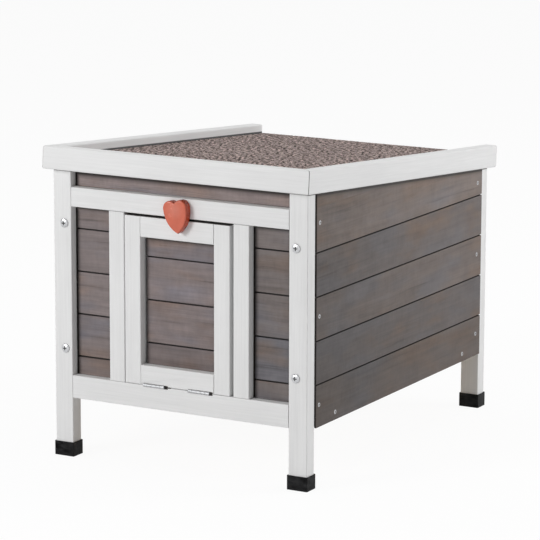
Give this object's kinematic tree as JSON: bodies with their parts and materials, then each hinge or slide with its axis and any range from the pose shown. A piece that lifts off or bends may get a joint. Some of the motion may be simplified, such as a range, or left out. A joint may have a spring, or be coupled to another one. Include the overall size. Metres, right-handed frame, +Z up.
{
  "type": "outdoor cat house",
  "caption": "Boarded timber cabin on capped legs for a cat, with a drop-down framed door held by a heart-shaped turn button and a sloping felted lid hinged at the rear.",
  "frame": {"origin": "on the ground, at the middle of the object's outline seen from above", "axes": "+X to the viewer's right when facing the door, +Y from the door to the rear, +Z up"},
  "size_m": [0.4148, 0.5798, 0.4376],
  "materials": {
    "white_paint": "white satin paint on planed timber",
    "grey_brown_stain": "grey-brown matt stain on planed boards",
    "bare_pine": "bare planed softwood",
    "plywood": "bare plywood sheet",
    "roof_felt": "bitumen sheet with grey-brown mineral granules",
    "black_plastic": "black moulded",
    "zinc_steel": "bright zinc plating",
    "coral_paint": "coral red satin paint"
  },
  "bodies": {
    "house": {"front_post_left": "white_paint", "front_post_right": "white_paint", "front_upper_rail": "white_paint", "front_bottom_rail": "white_paint", "front_jamb_left": "white_paint", "front_jamb_right": "white_paint", "front_header_board": "grey_brown_stain", "front_bay_boards_left": "grey_brown_stain", "front_bay_boards_right": "grey_brown_stain", "rear_post_left": "white_paint", "rear_post_right": "white_paint", "rear_upper_rail": "white_paint", "rear_bottom_rail": "white_paint", "rear_boards": "grey_brown_stain", "left_side_board_1": "grey_brown_stain", "left_side_board_2": "grey_brown_stain", "left_side_board_3": "grey_brown_stain", "left_side_board_4": "grey_brown_stain", "left_side_board_5": "grey_brown_stain", "left_upright_front": "bare_pine", "left_upright_rear": "bare_pine", "left_floor_batten": "bare_pine", "right_side_board_1": "grey_brown_stain", "right_side_board_2": "grey_brown_stain", "right_side_board_3": "grey_brown_stain", "right_side_board_4": "grey_brown_stain", "right_side_board_5": "grey_brown_stain", "right_upright_front": "bare_pine", "right_upright_rear": "bare_pine", "right_floor_batten": "bare_pine", "floor_panel": "plywood", "front_foot_cap_left": "black_plastic", "front_foot_cap_right": "black_plastic", "rear_foot_cap_left": "black_plastic", "rear_foot_cap_right": "black_plastic", "frame_screw_lower_left": "zinc_steel", "frame_screw_lower_right": "zinc_steel", "frame_screw_upper_left": "zinc_steel", "frame_screw_upper_right": "zinc_steel", "door_hinge_left_fixed_leaf": "zinc_steel", "door_hinge_right_fixed_leaf": "zinc_steel", "lid_hinge_left_fixed_leaf": "zinc_steel", "lid_hinge_right_fixed_leaf": "zinc_steel"},
    "door": {"door_stile_left": "white_paint", "door_stile_right": "white_paint", "door_top_rail": "white_paint", "door_bottom_rail": "white_paint", "door_boards": "grey_brown_stain", "door_hinge_left_moving_leaf": "zinc_steel", "door_hinge_right_moving_leaf": "zinc_steel"},
    "heart_latch": {"heart_button": "coral_paint", "heart_pivot_screw": "zinc_steel"},
    "roof_lid": {"lid_front_rim": "white_paint", "lid_left_rim": "white_paint", "lid_right_rim": "white_paint", "lid_rear_rail": "white_paint", "lid_deck": "plywood", "lid_felt": "roof_felt", "lid_hinge_left_moving_leaf": "zinc_steel", "lid_hinge_right_moving_leaf": "zinc_steel"}
  },
  "joints": [
    {"name": "door_flip", "type": "hinge", "parent": "house", "child": "door", "pos_m": [0, -0.27633, 0.11685], "axis": [1, 0, 0], "range_deg": [0, 120]},
    {"name": "heart_turn", "type": "hinge", "parent": "house", "child": "heart_latch", "pos_m": [0.0015, -0.27573, 0.3678], "axis": [0, -1, 0], "continuous": true},
    {"name": "roof_lid_hinge", "type": "hinge", "parent": "house", "child": "roof_lid", "pos_m": [0, 0.27832, 0.35819], "axis": [-1, 0, 0], "range_deg": [0, 100]}
  ]
}
